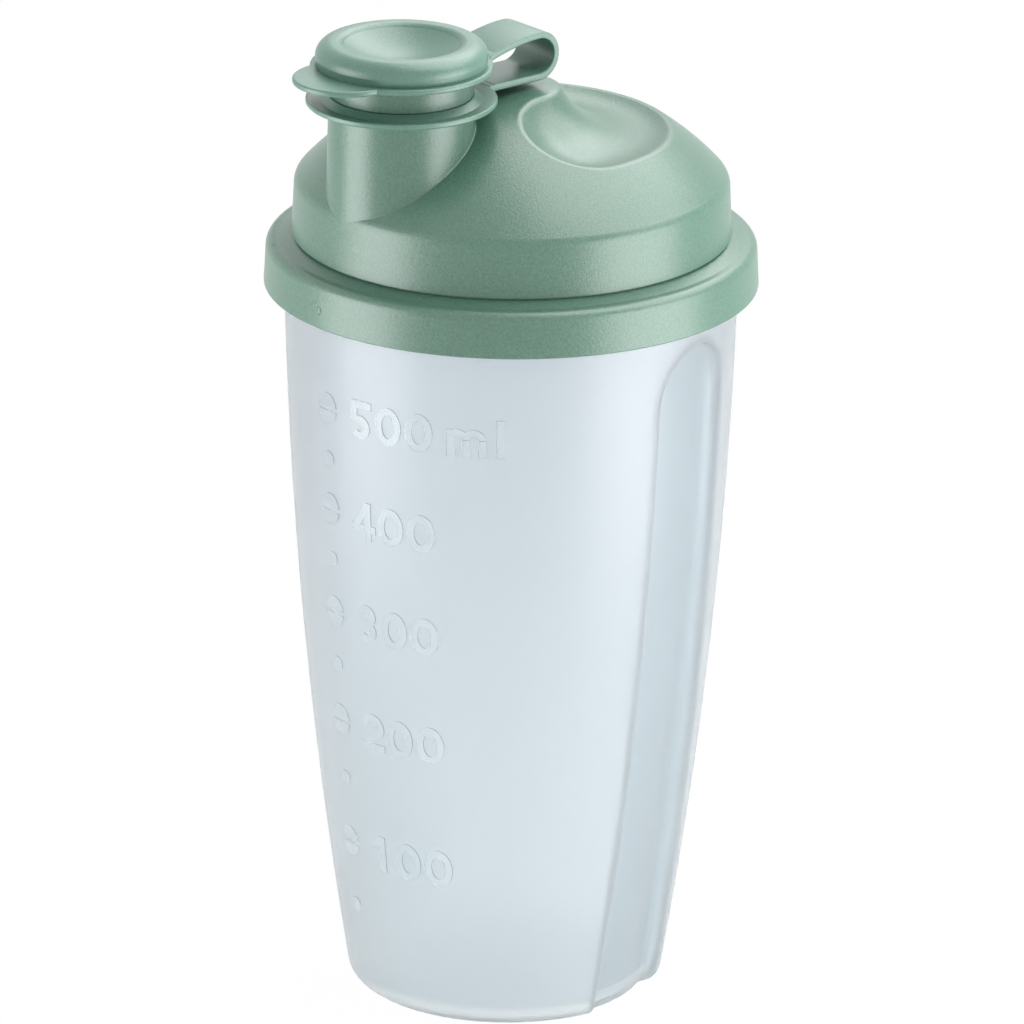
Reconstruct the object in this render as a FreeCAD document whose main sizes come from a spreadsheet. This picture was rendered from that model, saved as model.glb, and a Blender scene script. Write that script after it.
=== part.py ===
# Salad dressing shaker: graduated beaker, screw lid with spout, mixing sieve and captive stopper.
# Millimetres. The origin is the centre of the beaker's base, Z is up, the spout points to -Y.
import FreeCAD, Part
import Sketcher
import math
import os
import re

V = FreeCAD.Vector
doc = FreeCAD.newDocument("dressing_shaker")
sheet = doc.addObject("Spreadsheet::Sheet", "sizes")

SIZES = [
    ("base_r", 30.1, "beaker outer radius at the base plane"),
    ("neck_r", 43.2, "beaker outer radius at the neck"),
    ("neck_z", 141.4, "height where the curved wall meets the straight neck"),
    ("neck_len", 5.6, "length of the straight neck up to the rim"),
    ("wall_arc", 1000.0, "radius of the beaker wall's gentle bulge"),
    ("cup_wall", 1.3, "beaker wall thickness"),
    ("cup_floor", 1.6, "beaker floor thickness"),
    ("base_round", 3.5, "rounding of the base edge"),
    ("rim_round", 0.6, "rounding of the rim's edges"),
    ("grip_width", 21.0, "width of each finger recess"),
    ("grip_drop", 4.6, "finger recess arch below the neck's foot"),
    ("grip_depth", 3.0, "depth of each finger recess"),
    ("grip_edge", 1.0, "rounding of the recess edge"),
    ("grip_corner", 2.4, "rounding of the recess floor's corner"),
    ("grip_turn", 16.3, "turn of the beaker against the spout, degrees"),
    ("thread_lead", 6.0, "rise of the screw thread in one turn"),
    ("thread_height", 1.45, "height of a thread rib"),
    ("thread_foot", 1.5, "width of a thread rib at its foot"),
    ("thread_crest", 0.7, "width of a thread rib at its crest"),
    ("thread_gap", 0.55, "clearance between a rib's crest and the opposite wall"),
    ("thread_start", 2.6, "start of the neck's thread above the neck's foot"),
    ("neck_turns", 0.26, "turns of each thread rib on the neck"),
    ("lid_turns", 0.3, "turns of each thread rib in the lid"),
    ("seal_thick", 1.2, "thickness of the sealing ring"),
    ("seal_gap", 0.15, "clearance round the sealing ring"),
    ("lid_low", 0.25, "collar's lower edge above the neck's foot"),
    ("lid_start", 0.95, "start of the lid's thread above the collar's lower edge"),
    ("collar_edge", 0.3, "rounding of the collar's lower edge"),
    ("collar_draft", 0.35, "draft of the collar below its rounding"),
    ("collar_lean", 2.2, "collar's upper edge inside its lower edge"),
    ("collar_roof", 2.35, "thickness of the collar's roof"),
    ("collar_mid", 7.05, "height where the collar's rounding begins"),
    ("collar_arc", 1.95, "radius of the collar's rounding"),
    ("collar_wall", 1.9, "wall of the collar"),
    ("foot_in", 0.5, "depth of the groove round the drum's foot"),
    ("foot_line", 0.4, "height of the groove round the drum's foot"),
    ("foot_high", 1.4, "drum's foot above the collar's edge"),
    ("shoulder", 3.0, "rounding between drum and dome"),
    ("drum_draft", 0.45, "draft of the lid's drum"),
    ("dome_r", 55.0, "radius of the dome"),
    ("dome_rise", 30.45, "dome apex above the collar's roof"),
    ("lid_wall", 1.75, "wall of drum and dome"),
    ("lip_end", 2.6, "height of the inner lip's end"),
    ("lip_gap", 0.35, "clearance between inner lip and beaker"),
    ("lip_wall", 1.9, "wall of the inner lip"),
    ("trough_r", 23.8, "radius of the finger trough's centre line"),
    ("trough_ball", 16.1, "ball radius of the trough"),
    ("trough_rise", 5.9, "ball centre of the trough above the dome apex"),
    ("trough_edge", 1.6, "rounding of the trough's edge"),
    ("gate_z", 3.45, "height of the gate mark on the collar"),
    ("gate_w", 1.5, "width of the gate mark"),
    ("gate_h", 2.1, "height of the gate mark's oval"),
    ("gate_out", 0.25, "gate mark proud of the collar"),
    ("spout_flush", 0.15, "spout's foot against the drum"),
    ("spout_foot_r", 14.35, "spout radius at its foot"),
    ("spout_draft", 0.6, "draft of the spout"),
    ("spout_rise", 0.7, "spout's shoulder above the dome apex"),
    ("groove_len", 2.5, "length of the ring groove"),
    ("groove_depth", 0.7, "depth of the ring groove"),
    ("tube_step", 0.25, "pouring tube inside the spout's shoulder"),
    ("tube_len", 8.2, "pouring tube above the ring groove"),
    ("tube_wall", 1.3, "wall of the tube at the ring groove"),
    ("tube_lip", 0.7, "rounding of the pouring lip"),
    ("ring_gap", 0.12, "clearance of the retaining ring"),
    ("ring_hub", 1.78, "wall of the ring's hub"),
    ("ring_reach", 3.3, "width of the ring's flange"),
    ("ring_rim", 1.1, "thickness of the ring's rim"),
    ("ring_lift", 0.45, "rise of the ring's underside to its rim"),
    ("strap_width", 11.0, "width of the strap"),
    ("strap_thick", 1.2, "thickness of the strap"),
    ("strap_leg", 10.0, "straight length of the strap's lower leg"),
    ("strap_rise", 1.8, "strap's crest above the cap's flange"),
    ("ring_lug", 1.2, "length of the ring's lug"),
    ("cap_lug", 1.0, "length of the cap's lug"),
    ("hinge_gap", 0.1, "gap between strap and cap lug"),
    ("cap_cover", 3.7, "overlap of the cap on the pouring tube"),
    ("cap_clear", 0.7, "room above the pouring lip"),
    ("cap_flange", 1.15, "thickness of the cap flange"),
    ("cap_brim", 0.95, "cap flange outside the cap head"),
    ("cap_edge", 0.42, "rounding of the cap flange's edges"),
    ("cap_side", 1.85, "side wall of the cap head"),
    ("cap_round", 3.0, "rounding of the cap head's edge"),
    ("dimple_depth", 3.7, "depth of the finger dimple"),
    ("dimple_in", 0.6, "dimple inside the pouring bore"),
    ("cap_wall", 1.2, "wall of the cap"),
    ("cap_room", 0.9, "clearance between pouring tube and cap"),
    ("tab_r", 10.0, "radius of the pull tab"),
    ("tab_in", 3.8, "tab centre inside the flange's edge"),
    ("sieve_thick", 1.6, "thickness of the sieve plate"),
    ("sieve_band", 5.4, "height of the sieve's band"),
    ("sieve_wall", 1.3, "wall of the sieve's band"),
    ("sieve_gap", 0.12, "clearance between sieve and lip"),
    ("sieve_seat", 0.6, "sieve above the end of the inner lip"),
    ("sieve_hole", 4.4, "diameter of the sieve's holes"),
    ("sieve_pitch", 7.4, "distance between the rings of holes"),
    ("relief", 0.22, "height of the raised scale"),
    ("digit_high", 7.6, "height of the numerals"),
    ("digit_wide", 5.6, "width of the numerals"),
    ("digit_pitch", 6.45, "distance from numeral to numeral"),
    ("stroke", 1.45, "stroke width of the numerals"),
    ("disc_high", 6.3, "height of a main level mark"),
    ("disc_wide", 5.2, "width of a main level mark"),
    ("disc_slit", 0.9, "slit in a main level mark"),
    ("dot_d", 3.0, "diameter of an intermediate level mark"),
    ("mark_x", -14.45, "place of the marks left of the scale's middle"),
    ("number_x", -8.2, "left end of the numerals"),
    ("unit_x", 12.9, "left end of the unit"),
    ("unit_pitch", 2.85, "distance between the stems of the letter m"),
    ("unit_gap", 2.3, "gap between the letters of the unit"),
    ("level_050", 20.0, "height of the 50 ml mark"),
    ("level_100", 33.9, "height of the 100 ml mark"),
    ("level_150", 47.6, "height of the 150 ml mark"),
    ("level_200", 60.0, "height of the 200 ml mark"),
    ("level_250", 71.7, "height of the 250 ml mark"),
    ("level_300", 82.7, "height of the 300 ml mark"),
    ("level_350", 93.6, "height of the 350 ml mark"),
    ("level_400", 103.9, "height of the 400 ml mark"),
    ("level_450", 114.1, "height of the 450 ml mark"),
    ("level_500", 124.3, "height of the 500 ml mark"),
]
# Sizes that follow from those in the sheet, so that what fits together stays together.
FOLLOWS = {
    "rim_z": "neck_z + neck_len",
    "lid_z": "neck_z + lid_low",
    "grip_top": "neck_z - grip_drop",
    "roof": "neck_len + seal_thick - lid_low",
    "collar_in": "neck_r + thread_height + thread_gap",
    "collar_r": "collar_in + collar_wall",
    "collar_mid_r": "collar_r - collar_draft",
    "collar_top_r": "collar_r - collar_lean",
    "collar_top": "roof + collar_roof",
    "roof_r": "collar_in - 1.2",
    "lip_out": "neck_r - cup_wall - lip_gap",
    "lip_in": "lip_out - lip_wall",
    "drum_top_r": "lip_in + lid_wall",
    "drum_r": "drum_top_r + drum_draft",
    "foot_top": "collar_top + foot_high",
    "dome_top": "collar_top + dome_rise",
    "dome_c": "dome_top - dome_r",
    "inner_r": "dome_r - lid_wall",
    "bend_x": "drum_top_r - shoulder",
    "bend_z": "dome_c + sqrt((dome_r - shoulder)^2 - bend_x^2)",
    "trough_z": "dome_top + trough_rise",
    "spout_d": "drum_top_r + spout_flush - spout_foot_r",
    "spout_top_r": "spout_foot_r - spout_draft",
    "spout_step": "dome_top + spout_rise",
    "tube_r": "spout_top_r - tube_step",
    "groove_r": "tube_r - groove_depth",
    "bore_r": "groove_r - tube_wall",
    "tube_top": "spout_step + groove_len + tube_len",
    "ring_in": "groove_r + ring_gap",
    "ring_hub_r": "ring_in + ring_hub",
    "ring_r": "ring_hub_r + ring_reach",
    "ring_low": "spout_step + ring_gap",
    "ring_high": "spout_step + groove_len - ring_gap",
    "rim_low": "ring_low + ring_lift",
    "lug_ring": "ring_r + ring_lug",
    "lug_cap": "cap_flange_r + cap_lug",
    "cap_seat": "tube_top - cap_cover",
    "cap_top": "tube_top + cap_clear + cap_wall",
    "cap_roof": "tube_top + cap_clear",
    "cap_head_r": "tube_r + cap_room + cap_side",
    "cap_flange_r": "cap_head_r + cap_brim",
    "dimple_r": "bore_r - dimple_in",
    "dimple_sink": "dimple_depth - 0.7",
    "bowl_r": "(dimple_r^2 + dimple_sink^2)/(2*dimple_sink)",
    "under_r": "bowl_r + cap_wall",
    "tab_d": "cap_flange_r - tab_in",
    "strap_low": "rim_low + strap_thick/2",
    "strap_near": "lug_cap + hinge_gap",
    "strap_end": "cap_seat + cap_flange/2",
    "strap_high": "strap_end + strap_rise",
    "strap_loop": "(strap_high - strap_low)/2",
    "strap_mid": "strap_low + strap_loop",
    "strap_reach": "lug_ring + strap_leg",
    "strap_sweep": "((strap_reach - strap_near)^2 + strap_rise^2)/(2*strap_rise)",
    "sieve_low": "lid_z + lip_end + sieve_seat",
    "sieve_r": "lip_in - sieve_gap",
}
NAMES = [row[0] for row in SIZES]
for n, (alias, value, note) in enumerate(SIZES, 1):
    sheet.set("A%d" % n, alias)
    sheet.set("B%d" % n, str(value))
    sheet.setAlias("B%d" % n, alias)
    sheet.set("C%d" % n, note)
doc.recompute()
WORDS = re.compile(r"\b(" + "|".join(NAMES) + r")\b")
MADE = re.compile(r"\b(" + "|".join(FOLLOWS) + r")\b")


def bind(text, prefix="sizes."):
    # Expression text in which every size points at its cell.
    text = str(text)
    while MADE.search(text):
        text = MADE.sub(lambda hit: "(" + FOLLOWS[hit.group(1)] + ")", text)
    return WORDS.sub(lambda hit: prefix + hit.group(1), text)


def num(text):
    # The present value of an expression of sizes.
    value = sheet.evalExpression(bind(text, ""))
    return float(getattr(value, "Value", value))


def new_body(name):
    return doc.addObject("PartDesign::Body", name)


def plane(body, role):
    return [o for o in body.Origin.OriginFeatures if o.Role == role][0]


def pin(sk, geo, pos, x, y, tag):
    # Ties one point of a sketch to its place in sizes, measured from the sketch's origin.
    for kind, text, axis in (("DistanceX", x, -2), ("DistanceY", y, -1)):
        value = num(text)
        if abs(value) < 1e-9:
            sk.addConstraint(Sketcher.Constraint("PointOnObject", geo, pos, axis))
            continue
        if value > 0:
            i = sk.addConstraint(Sketcher.Constraint(kind, -1, 1, geo, pos, value))
            source = bind(text)
        else:
            i = sk.addConstraint(Sketcher.Constraint(kind, geo, pos, -1, 1, -value))
            source = "-(" + bind(text) + ")"
        label = tag + kind[-1].lower()
        sk.renameConstraint(i, label)
        sk.setExpression("Constraints." + label, source)


def arc_through(p, q, radius, side):
    # Arc from p to q; side is 1 when it bulges to the right of the way from p to q.
    chord = q - p
    half = chord.Length / 2.0
    rise = radius - math.sqrt(max(radius * radius - half * half, 0.0))
    normal = V(chord.y, -chord.x, 0)
    normal.normalize()
    mid = (p + q) * 0.5 + normal * (rise * side)
    return Part.Arc(p, mid, q)


def outline(body, role, name, points, axis_x=None, lift=None):
    # Closed outline. A point is (x, y) or (x, y, radius, side) when an arc leads on from it.
    sk = body.newObject("Sketcher::SketchObject", name)
    sk.AttachmentSupport = [(plane(body, role), "")]
    sk.MapMode = "FlatFace"
    if lift:
        sk.setExpression("AttachmentOffset.Base.z", bind(lift))
    where = [V(num(p[0]), num(p[1]), 0) for p in points]
    count = len(points)
    for i, p in enumerate(points):
        a = where[i]
        b = where[(i + 1) % count]
        if len(p) == 4:
            sk.addGeometry(arc_through(a, b, num(p[2]), p[3]), False)
        else:
            sk.addGeometry(Part.LineSegment(a, b), False)
    first = []
    last = []
    for i, p in enumerate(points):
        near = 1
        far = 2
        if len(p) == 4:
            start = sk.getPoint(i, 1)
            if (start - where[i]).Length > (sk.getPoint(i, 2) - where[i]).Length:
                near = 2
                far = 1
        first.append(near)
        last.append(far)
    for i, p in enumerate(points):
        j = (i + 1) % count
        sk.addConstraint(Sketcher.Constraint("Coincident", i, last[i], j, first[j]))
        pin(sk, i, first[i], p[0], p[1], "p%d" % i)
    for i, p in enumerate(points):
        if len(p) == 4:
            k = sk.addConstraint(Sketcher.Constraint("Radius", i, num(p[2])))
            sk.renameConstraint(k, "r%d" % i)
            sk.setExpression("Constraints.r%d" % i, bind(p[2]))
    if axis_x is not None:
        g = sk.addGeometry(Part.LineSegment(V(num(axis_x), 0, 0), V(num(axis_x), 10, 0)), True)
        sk.addConstraint(Sketcher.Constraint("Vertical", g))
        pin(sk, g, 1, axis_x, "0", "axis")
        sk.addConstraint(Sketcher.Constraint("Distance", g, 10))
    doc.recompute()
    return sk


def circle_sketch(body, role, name, x, y, radius, lift=None):
    sk = body.newObject("Sketcher::SketchObject", name)
    sk.AttachmentSupport = [(plane(body, role), "")]
    sk.MapMode = "FlatFace"
    if lift:
        sk.setExpression("AttachmentOffset.Base.z", bind(lift))
    sk.addGeometry(Part.Circle(V(num(x), num(y), 0), V(0, 0, 1), num(radius)), False)
    pin(sk, 0, 3, x, y, "c")
    k = sk.addConstraint(Sketcher.Constraint("Radius", 0, num(radius)))
    sk.renameConstraint(k, "radius")
    sk.setExpression("Constraints.radius", bind(radius))
    doc.recompute()
    return sk


def turned(body, name, sk, axis="V_Axis", angle="360", both=False, cut=False, back=False):
    f = body.newObject("PartDesign::Groove" if cut else "PartDesign::Revolution", name)
    f.Profile = sk
    f.ReferenceAxis = (sk, [axis])
    f.setExpression("Angle", bind(angle))
    f.Midplane = both
    f.Reversed = back
    doc.recompute()
    return f


def padded(body, name, sk, length, both=False, cut=False, back=False):
    f = body.newObject("PartDesign::Pocket" if cut else "PartDesign::Pad", name)
    f.Profile = sk
    f.setExpression("Length", bind(length))
    f.SideType = "Symmetric" if both else "One side"
    f.Reversed = back
    doc.recompute()
    return f


def rounded(body, name, feature, radius, test):
    # Rounds the edges of a feature whose middle point and length satisfy a test.
    names = []
    for i, e in enumerate(feature.Shape.Edges, 1):
        if e.Degenerated:
            continue
        m = e.valueAt((e.FirstParameter + e.LastParameter) / 2.0)
        if test(m, e):
            names.append("Edge%d" % i)
    f = body.newObject("PartDesign::Fillet", name)
    f.Base = (feature, names)
    f.setExpression("Radius", bind(radius))
    doc.recompute()
    return f


def repeated(body, name, features, count):
    f = body.newObject("PartDesign::PolarPattern", name)
    f.Originals = features
    f.Axis = (plane(body, "Z_Axis"), [""])
    f.Angle = 360
    f.Occurrences = count
    body.Tip = f
    doc.recompute()
    return f


def mirrored(body, name, features):
    f = body.newObject("PartDesign::Mirrored", name)
    f.Originals = features
    f.MirrorPlane = (plane(body, "YZ_Plane"), [""])
    body.Tip = f
    doc.recompute()
    return f


def joined(kind, name, base, tool):
    f = doc.addObject(kind, name)
    if kind == "Part::MultiFuse":
        f.Shapes = [base] + list(tool)
    else:
        f.Base = base
        f.Tool = tool
    f.Refine = True
    doc.recompute()
    return f


# Beaker outside: bulged wall, straight neck, rounded base.
cup = new_body("beaker_outside")
sk = outline(cup, "XZ_Plane", "cup_section", [
    ("0", "0"),
    ("base_r", "0", "wall_arc", 1),
    ("neck_r", "neck_z"),
    ("neck_r", "rim_z"),
    ("0", "rim_z"),
])
cup_solid = turned(cup, "cup_solid", sk)
cup_base = rounded(cup, "cup_base_round", cup_solid, "base_round",
                   lambda m, e: abs(m.z) < 1e-4 and math.hypot(m.x, m.y) > num("base_r") - 0.5)


def depth_section(body, name, depth):
    # The beaker's wall line moved inward by a depth, closed to the axis.
    return outline(body, "XZ_Plane", name, [
        ("0", "-20"),
        ("base_r - 20*(neck_r - base_r)/neck_z - " + depth, "-20"),
        ("base_r - " + depth, "0", "wall_arc - " + depth, 1),
        ("neck_r - " + depth, "neck_z"),
        ("neck_r - " + depth, "rim_z + 10"),
        ("0", "rim_z + 10"),
    ])


def grip_tool(name, half, top, depth, corner):
    # Both finger recesses as one cutter: an arched prism less the deeper wall line.
    b = new_body(name)
    sk = outline(b, "YZ_Plane", name + "_arch", [
        ("-" + half, "-10"),
        (half, "-10"),
        (half, top + " - " + half, half, 1),
        ("0", top, half, 1),
        ("-" + half, top + " - " + half),
    ])
    prism = padded(b, name + "_prism", sk, "2*neck_r + 40", both=True)
    inner = depth_section(b, name + "_floor", depth)
    floor = turned(b, name + "_cut", inner, cut=True)

    def at_floor(m, e):
        r = math.hypot(m.x, m.y)
        return e.Length > 15 and m.z > 5 and r < num("neck_r") + 5
    return b, rounded(b, name + "_corner", floor, corner, at_floor)


grip_half = "(grip_width/2)"
grip_body, grip_feature = grip_tool("grip_cutter", grip_half, "grip_top", "grip_depth", "grip_corner")
cut = cup.newObject("PartDesign::Boolean", "grip_cut")
cut.setObjects([grip_body])
cut.Type = "Cut"
cup.Tip = cut
doc.recompute()


def wall_at(z, out=0.0):
    # Outer radius of the beaker's wall at a height.
    ax = num("base_r")
    bx = num("neck_r")
    bz = num("neck_z")
    bow = num("wall_arc")
    if z >= bz:
        return bx + out
    chord = math.hypot(bx - ax, bz)
    back = math.sqrt(bow * bow - chord * chord / 4.0)
    cx = (ax + bx) / 2.0 - bz / chord * back
    cz = bz / 2.0 + (bx - ax) / chord * back
    return cx + math.sqrt(bow * bow - (z - cz) ** 2) + out


def grip_rim(m, e):
    on_wall = abs(math.hypot(m.x, m.y) - wall_at(m.z)) < 0.02
    inside = abs(m.y) < num(grip_half) + 0.1
    return on_wall and inside and num("base_round") < m.z < num("grip_top") + 0.1


cup_edge = rounded(cup, "grip_edge_round", cut, "grip_edge", grip_rim)
cup_rim = rounded(cup, "rim_round_out", cup_edge, "rim_round",
                  lambda m, e: abs(m.z - num("rim_z")) < 1e-4 and e.Length > 50)


def rib(body, name, root, tip, middle, turns):
    # One screw rib that rises round the axis, and its opposite twin.
    sign = "+" if num(tip) > num(root) else "-"
    sk = outline(body, "XZ_Plane", name + "_section", [
        (root + (" - 0.6" if sign == "+" else " + 0.6"), middle + " - thread_foot/2"),
        (root, middle + " - thread_foot/2"),
        (tip, middle + " - thread_crest/2"),
        (tip, middle + " + thread_crest/2"),
        (root, middle + " + thread_foot/2"),
        (root + (" - 0.6" if sign == "+" else " + 0.6"), middle + " + thread_foot/2"),
    ])
    f = body.newObject("PartDesign::AdditiveHelix", name)
    f.Profile = sk
    f.ReferenceAxis = (sk, ["V_Axis"])
    f.Mode = "pitch-turns-angle"
    f.setExpression("Pitch", bind("thread_lead"))
    f.setExpression("Turns", bind(turns))
    doc.recompute()
    return f, repeated(body, name + "_starts", [f], 2)


neck_rib, neck_ribs = rib(cup, "neck_rib", "neck_r", "neck_r + thread_height",
                          "neck_z + thread_start", "neck_turns")

# Beaker inside: the wall line moved in by the wall, standing clear of the finger recesses.
hollow = new_body("beaker_inside")
sk = outline(hollow, "XZ_Plane", "hollow_section", [
    ("0", "cup_floor"),
    ("base_r - cup_wall - base_round/2", "cup_floor"),
    ("base_r - cup_wall + 0.6", "cup_floor + base_round/2 + 0.6", "wall_arc - cup_wall", 1),
    ("neck_r - cup_wall", "neck_z"),
    ("neck_r - cup_wall", "rim_z + 5"),
    ("0", "rim_z + 5"),
])
turned(hollow, "hollow_solid", sk)
core_body, core_feature = grip_tool("grip_core", "(grip_width/2 + cup_wall)", "(grip_top + cup_wall)",
                                    "(grip_depth + cup_wall)", "(grip_corner + cup_wall)")
keep = hollow.newObject("PartDesign::Boolean", "grip_keep")
keep.setObjects([core_body])
keep.Type = "Cut"
hollow.Tip = keep
doc.recompute()


# Volume scale: level marks and numerals drawn flat, raised on the wall.
def bar(x0, z0, x1, z1, wide):
    d = V(x1 - x0, 0, z1 - z0)
    d.normalize()
    side = V(-d.z, 0, d.x) * (wide / 2.0)
    a = V(x0, 0, z0)
    b = V(x1, 0, z1)
    return Part.Face(Part.makePolygon([a + side, b + side, b - side, a - side, a + side]))


def bow(x, z, mid, wide, start, end):
    # Part of a ring round (x, z), from one angle to another, counter-clockwise in degrees.
    def on(r, a):
        return V(x + r * math.cos(math.radians(a)), 0, z + r * math.sin(math.radians(a)))
    out = mid + wide / 2.0
    inn = mid - wide / 2.0
    half = (start + end) / 2.0
    edges = [
        Part.Arc(on(out, start), on(out, half), on(out, end)).toShape(),
        Part.LineSegment(on(out, end), on(inn, end)).toShape(),
        Part.Arc(on(inn, end), on(inn, half), on(inn, start)).toShape(),
        Part.LineSegment(on(inn, start), on(out, start)).toShape(),
    ]
    return Part.Face(Part.Wire(edges))


def round_face(x, z, wide, high):
    # Upright ellipse, or a circle where both sizes are equal.
    if high > wide:
        edge = Part.Ellipse(V(x, z, 0), high / 2.0, wide / 2.0).toShape()
        edge.rotate(V(x, z, 0), V(0, 0, 1), 90)
    else:
        edge = Part.makeCircle(wide / 2.0, V(x, z, 0))
    edge.rotate(V(0, 0, 0), V(1, 0, 0), 90)
    return Part.Face(Part.Wire([edge]))


def oval(x, z, wide, high, line):
    return round_face(x, z, wide, high).cut(round_face(x, z, wide - 2 * line, high - 2 * line)).Faces[0]


def one_face(faces):
    shape = faces[0].fuse(faces[1:]) if len(faces) > 1 else faces[0]
    return shape.removeSplitter()


def numeral(sign, x, z):
    # One numeral in its box, left edge at x, centred on the height z.
    w = num("digit_wide")
    t = num("digit_high")
    k = num("stroke")
    low = z - t / 2.0
    top = z + t / 2.0
    mid = x + w / 2.0
    rad = (w - k) / 2.0
    if sign == "0":
        return [oval(mid, z, w, t, k)]
    if sign == "1":
        return [bar(mid + 0.4, low, mid + 0.4, top, k), bar(x + 0.8, top - 2.2, mid + 0.4, top - 0.5, k)]
    if sign == "2":
        hub = top - k / 2.0 - rad
        tail = V(mid + rad * math.cos(math.radians(-30)), 0, hub + rad * math.sin(math.radians(-30)))
        return [bow(mid, hub, rad, k, -32, 170),
                bar(tail.x + 0.15, tail.z + 0.25, x + k * 0.62, low + k * 0.6, k),
                bar(x, low + k / 2.0, x + w, low + k / 2.0, k)]
    if sign == "3":
        small = (t - k) / 4.0
        return [bow(mid - 0.1, top - k / 2.0 - small, small, k, -90, 150),
                bow(mid - 0.1, low + k / 2.0 + small, small, k, -150, 90)]
    if sign == "4":
        post = x + w - k * 1.1
        return [bar(post, low, post, top, k), bar(x, low + 2.3, x + w + 0.2, low + 2.3, k),
                bar(x + k * 0.45, low + 2.0, post + 0.1, top - k * 0.35, k)]
    bowl = (t * 0.62 - k) / 2.0
    return [bar(x + 0.5, top - k / 2.0, x + w - 0.2, top - k / 2.0, k),
            bar(x + 0.5 + k / 2.0, top, x + 0.5 + k / 2.0, z - 0.5, k),
            bow(mid - 0.15, low + k / 2.0 + bowl, bowl, k, -140, 128)]


def unit_text(x, z):
    # The letters m and l.
    k = num("stroke")
    low = z - num("digit_high") / 2.0
    span = num("unit_pitch")
    high = 5.5
    rad = span / 2.0
    faces = []
    for i in range(3):
        cx = x + k / 2.0 + i * span
        faces.append(bar(cx, low, cx, low + high - (0.1 if i == 0 else rad + k / 2.0), k * 0.9))
    for i in range(2):
        cx = x + k / 2.0 + (i + 0.5) * span
        faces.append(bow(cx, low + high - rad - k * 0.45, rad, k * 0.9, 0, 180))
    letter = x + 2 * span + k + num("unit_gap")
    return [one_face(faces), bar(letter, low, letter, low + num("digit_high"), k * 0.9)]


def level_disc(x, z, wide, high, slit):
    face = round_face(x, z, wide, high)
    if slit <= 0:
        return [face]
    return face.cut(bar(x - wide, z, x + wide, z, slit)).Faces


levels = [num("level_%03d" % (50 * (i + 1))) for i in range(10)]
faces = []
for i, z in enumerate(levels):
    if i % 2 == 0:
        faces += level_disc(num("mark_x"), z, num("dot_d"), num("dot_d"), 0)
        continue
    faces += level_disc(num("mark_x"), z, num("disc_wide"), num("disc_high"), num("disc_slit"))
    for k, sign in enumerate("%d00" % ((i + 1) // 2)):
        faces.append(one_face(numeral(sign, num("number_x") + k * num("digit_pitch"), z)))
    if i == 9:
        faces += unit_text(num("unit_x"), z)
prisms = doc.addObject("Part::Feature", "scale_prisms")
prisms.Shape = Part.makeCompound([f.extrude(V(0, -num("neck_r") - 10, 0)) for f in faces])
layer = new_body("scale_layer")
sk = outline(layer, "XZ_Plane", "layer_section", [
    ("0", "0"),
    ("base_r + relief", "0", "wall_arc + relief", 1),
    ("neck_r + relief", "neck_z"),
    ("0", "neck_z"),
])
turned(layer, "layer_solid", sk)
scale = doc.addObject("Part::Common", "scale_relief")
scale.Base = layer
scale.Tool = prisms
doc.recompute()
marked = joined("Part::MultiFuse", "beaker_marked", cup, [scale])
beaker = joined("Part::Cut", "beaker", marked, hollow)
beaker.Placement = FreeCAD.Placement(V(0, 0, 0), FreeCAD.Rotation(V(0, 0, 1), num("grip_turn")))
beaker.setExpression("Placement.Rotation.Angle", bind("grip_turn"))
doc.recompute()

# Lid outside: collar, grooved drum foot, drum and dome in one turned section, from the collar's edge.
share = "dome_r/(dome_r - shoulder)"
top = new_body("lid_outside")
sk = outline(top, "YZ_Plane", "lid_section", [
    ("0", "0"),
    ("collar_r - collar_edge", "0", "collar_edge", 1),
    ("collar_r", "collar_edge"),
    ("collar_mid_r", "collar_mid", "collar_arc", 1),
    ("collar_top_r", "collar_top - 0.1"),
    ("collar_top_r - 0.6", "collar_top"),
    ("drum_r - foot_in", "foot_top - foot_line"),
    ("drum_r - foot_in", "foot_top"),
    ("drum_r", "foot_top"),
    ("drum_top_r", "bend_z", "shoulder", 1),
    ("bend_x*" + share, "dome_c + (bend_z - dome_c)*" + share, "dome_r", 1),
    ("0", "dome_top"),
])
turned(top, "lid_solid", sk)


def trough(body, name, ball):
    # Finger trough: a ball run half way round the back of the dome.
    sk = circle_sketch(body, "YZ_Plane", name + "_round", "trough_r", "trough_z", ball)
    turned(body, name + "_run", sk, angle="180", both=True, cut=True)
    sk = outline(body, "XZ_Plane", name + "_end", [
        ("trough_r", "trough_z - " + ball, ball, 1),
        ("trough_r + " + ball, "trough_z", ball, 1),
        ("trough_r", "trough_z + " + ball),
    ], axis_x="trough_r")
    end = turned(body, name + "_ball", sk, axis="Axis0", angle="180", cut=True, back=True)
    return mirrored(body, name + "_pair", [end])


def trough_rim(m, e):
    # Edge points that lie on the dome and on the trough's ball.
    if abs(m.distanceToPoint(V(0, 0, num("dome_c"))) - num("dome_r")) > 0.002:
        return False
    ring = num("trough_r")
    high = num("trough_z")
    gaps = [math.hypot(math.hypot(m.x, m.y) - ring, m.z - high)]
    gaps += [m.distanceToPoint(V(x, 0, high)) for x in (ring, -ring)]
    return min(abs(g - num("trough_ball")) for g in gaps) < 0.01 and e.Length > 1


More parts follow.
